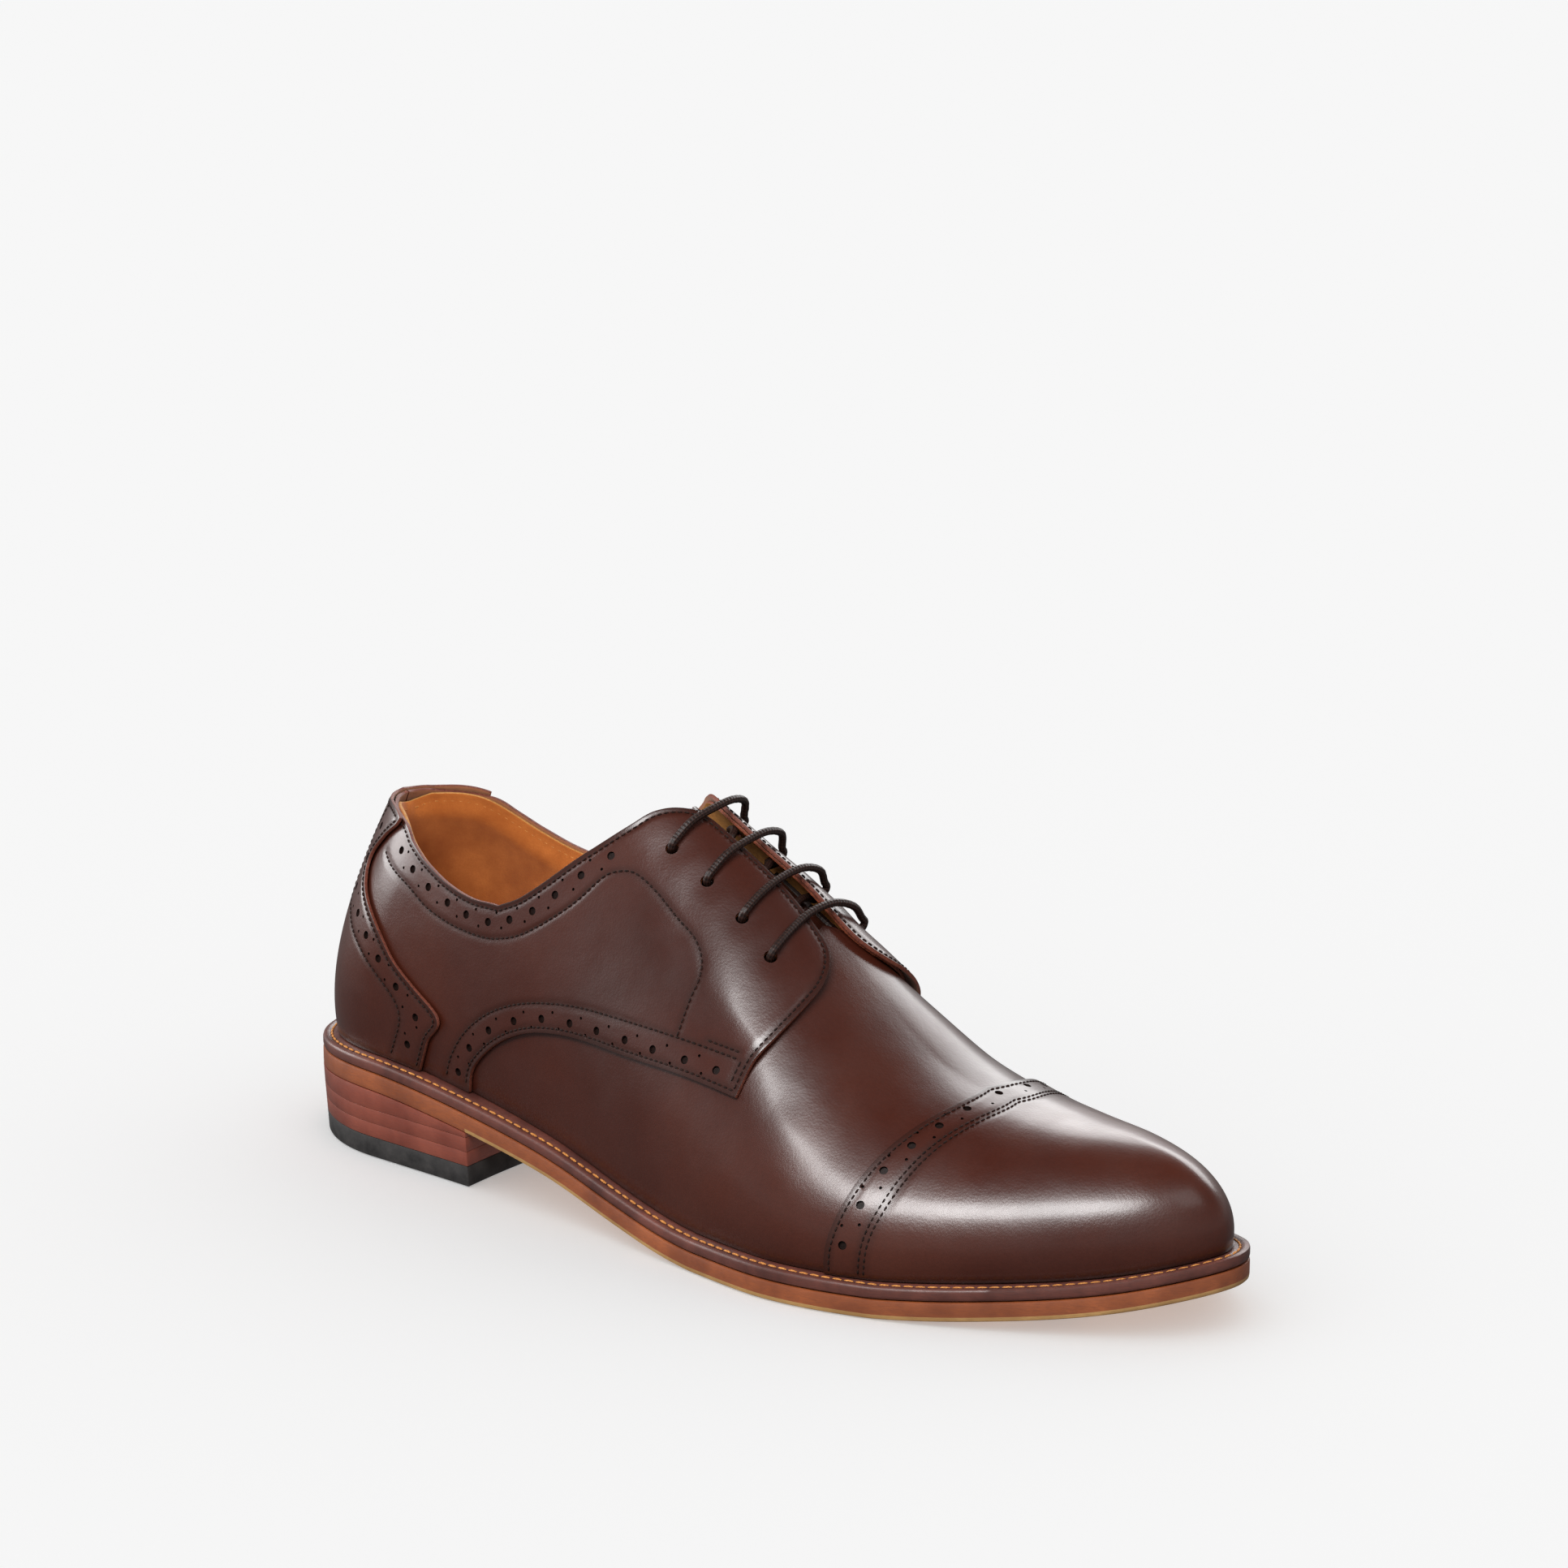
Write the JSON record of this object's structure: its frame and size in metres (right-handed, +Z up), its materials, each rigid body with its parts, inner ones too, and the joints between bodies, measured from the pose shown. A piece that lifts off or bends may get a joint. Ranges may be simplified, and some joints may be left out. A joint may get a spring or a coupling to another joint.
{
  "type": "derby shoe",
  "caption": "Right-foot leather derby shoe with open lacing, cap toe, perforated seams, welted leather sole and stacked heel.",
  "frame": {"origin": "on the ground under the middle of the bounding box", "axes": "+X from heel to toe, +Y to the medial side of the right foot, +Z up"},
  "size_m": [0.3, 0.1056, 0.1129],
  "materials": {
    "upper_leather": "smooth polished calf, satin to gloss",
    "lining_leather": "matt tan lining",
    "stiffening": "matt",
    "interlining": "woven",
    "lace_cord": "round waxed cord",
    "lace_tip": "satin",
    "welt_leather": "dyed and burnished",
    "sole_leather": "burnished edge",
    "heel_stack": "stacked, burnished",
    "top_piece_rubber": "matt",
    "insole_leather": "matt board",
    "cork": "granular cork, matt",
    "steel": "plain"
  },
  "bodies": {
    "shoe": {"toe_cap": "upper_leather", "vamp": "upper_leather", "quarter_lateral": "upper_leather", "quarter_medial": "upper_leather", "heel_patch": "upper_leather", "quarter_lining": "lining_leather", "vamp_lining": "lining_leather", "facing_lining_lateral": "lining_leather", "facing_lining_medial": "lining_leather", "sock_liner": "lining_leather", "toe_puff": "stiffening", "heel_stiffener": "stiffening", "interlining_lateral": "interlining", "interlining_medial": "interlining", "lace": "lace_cord", "aglet_medial": "lace_tip", "aglet_lateral": "lace_tip", "welt": "welt_leather", "outsole": "sole_leather", "heel_lift_1": "heel_stack", "heel_lift_2": "heel_stack", "heel_lift_3": "heel_stack", "top_piece": "top_piece_rubber", "insole_board": "insole_leather", "cork_filler": "cork", "shank": "steel", "heel_nail_1": "steel", "heel_nail_2": "steel", "heel_nail_3": "steel", "heel_nail_4": "steel", "heel_nail_5": "steel"},
    "tongue": {"tongue": "upper_leather", "tongue_lining": "lining_leather"}
  },
  "joints": [
    {"name": "tongue_flex", "type": "hinge", "parent": "shoe", "child": "tongue", "pos_m": [0.029, -0.001, 0.065], "axis": [0, -1, 0], "range_deg": [0, 14], "stiffness_Nm_per_rad": 0.15, "springref_deg": -2.86}
  ]
}
